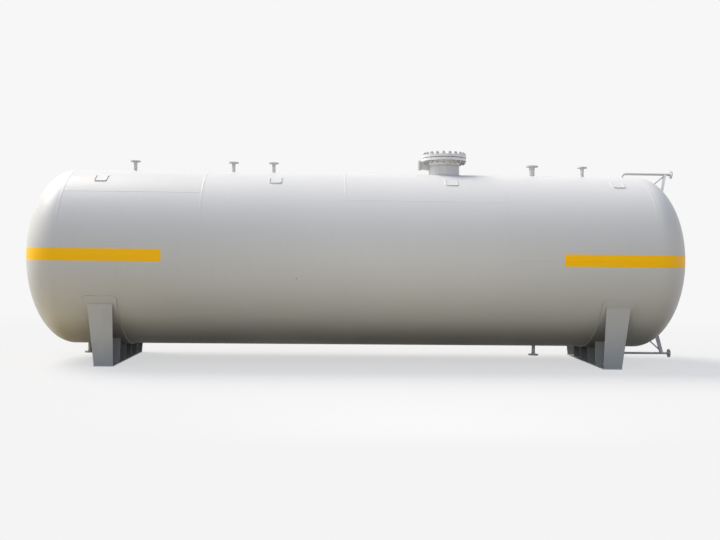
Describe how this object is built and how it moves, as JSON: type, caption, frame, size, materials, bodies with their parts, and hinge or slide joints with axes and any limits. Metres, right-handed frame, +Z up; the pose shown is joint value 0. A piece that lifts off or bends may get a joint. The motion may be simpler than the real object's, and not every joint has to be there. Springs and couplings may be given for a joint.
{
  "type": "horizontal pressure tank",
  "caption": "Welded horizontal pressure tank with two elliptical heads on steel saddles, with a bolted manhole, flanged nozzles and level gauge connections.",
  "frame": {"origin": "on the floor, below the middle of the tank's axis", "axes": "+X along the tank towards the level gauge connections, +Z up, +Y away from the side that the picture shows"},
  "size_m": [10.63, 2.832, 3.471],
  "materials": {
    "shell_paint": "weathered pale grey paint with a yellow band",
    "saddle_paint": "weathered blue-grey paint",
    "fitting_paint": "weathered grey paint",
    "gasket": "dark sheet gasket",
    "stud_steel": "dull dark steel"
  },
  "bodies": {
    "root": {"davit_socket": "fitting_paint", "drain_left_flange": "fitting_paint", "drain_left_neck": "fitting_paint", "drain_right_flange": "fitting_paint", "drain_right_neck": "fitting_paint", "gauge_bottom_flange": "fitting_paint", "gauge_bottom_pipe": "fitting_paint", "gauge_bottom_struts": "fitting_paint", "gauge_top_flange": "fitting_paint", "gauge_top_pipe": "fitting_paint", "gauge_top_struts": "fitting_paint", "head_left": "shell_paint", "head_right": "shell_paint", "manhole_cover": "fitting_paint", "manhole_flange": "fitting_paint", "manhole_gasket": "gasket", "manhole_neck": "fitting_paint", "manhole_studs": "stud_steel", "saddle_left_base": "saddle_paint", "saddle_left_end_plates": "saddle_paint", "saddle_left_ribs": "saddle_paint", "saddle_left_web": "saddle_paint", "saddle_left_wrapper": "shell_paint", "saddle_right_base": "saddle_paint", "saddle_right_end_plates": "saddle_paint", "saddle_right_ribs": "saddle_paint", "saddle_right_web": "saddle_paint", "saddle_right_wrapper": "shell_paint", "shell_course_1": "shell_paint", "shell_course_2": "shell_paint", "shell_course_3": "shell_paint", "shell_course_4": "shell_paint", "top_nozzle_1_flange": "fitting_paint", "top_nozzle_1_neck": "fitting_paint", "top_nozzle_2_flange": "fitting_paint", "top_nozzle_2_neck": "fitting_paint", "top_nozzle_3_flange": "fitting_paint", "top_nozzle_3_neck": "fitting_paint", "top_nozzle_4_flange": "fitting_paint", "top_nozzle_4_neck": "fitting_paint", "top_nozzle_5_flange": "fitting_paint", "top_nozzle_5_neck": "fitting_paint", "walkway_clips_far": "shell_paint", "walkway_clips_near": "shell_paint"}
  },
  "joints": []
}
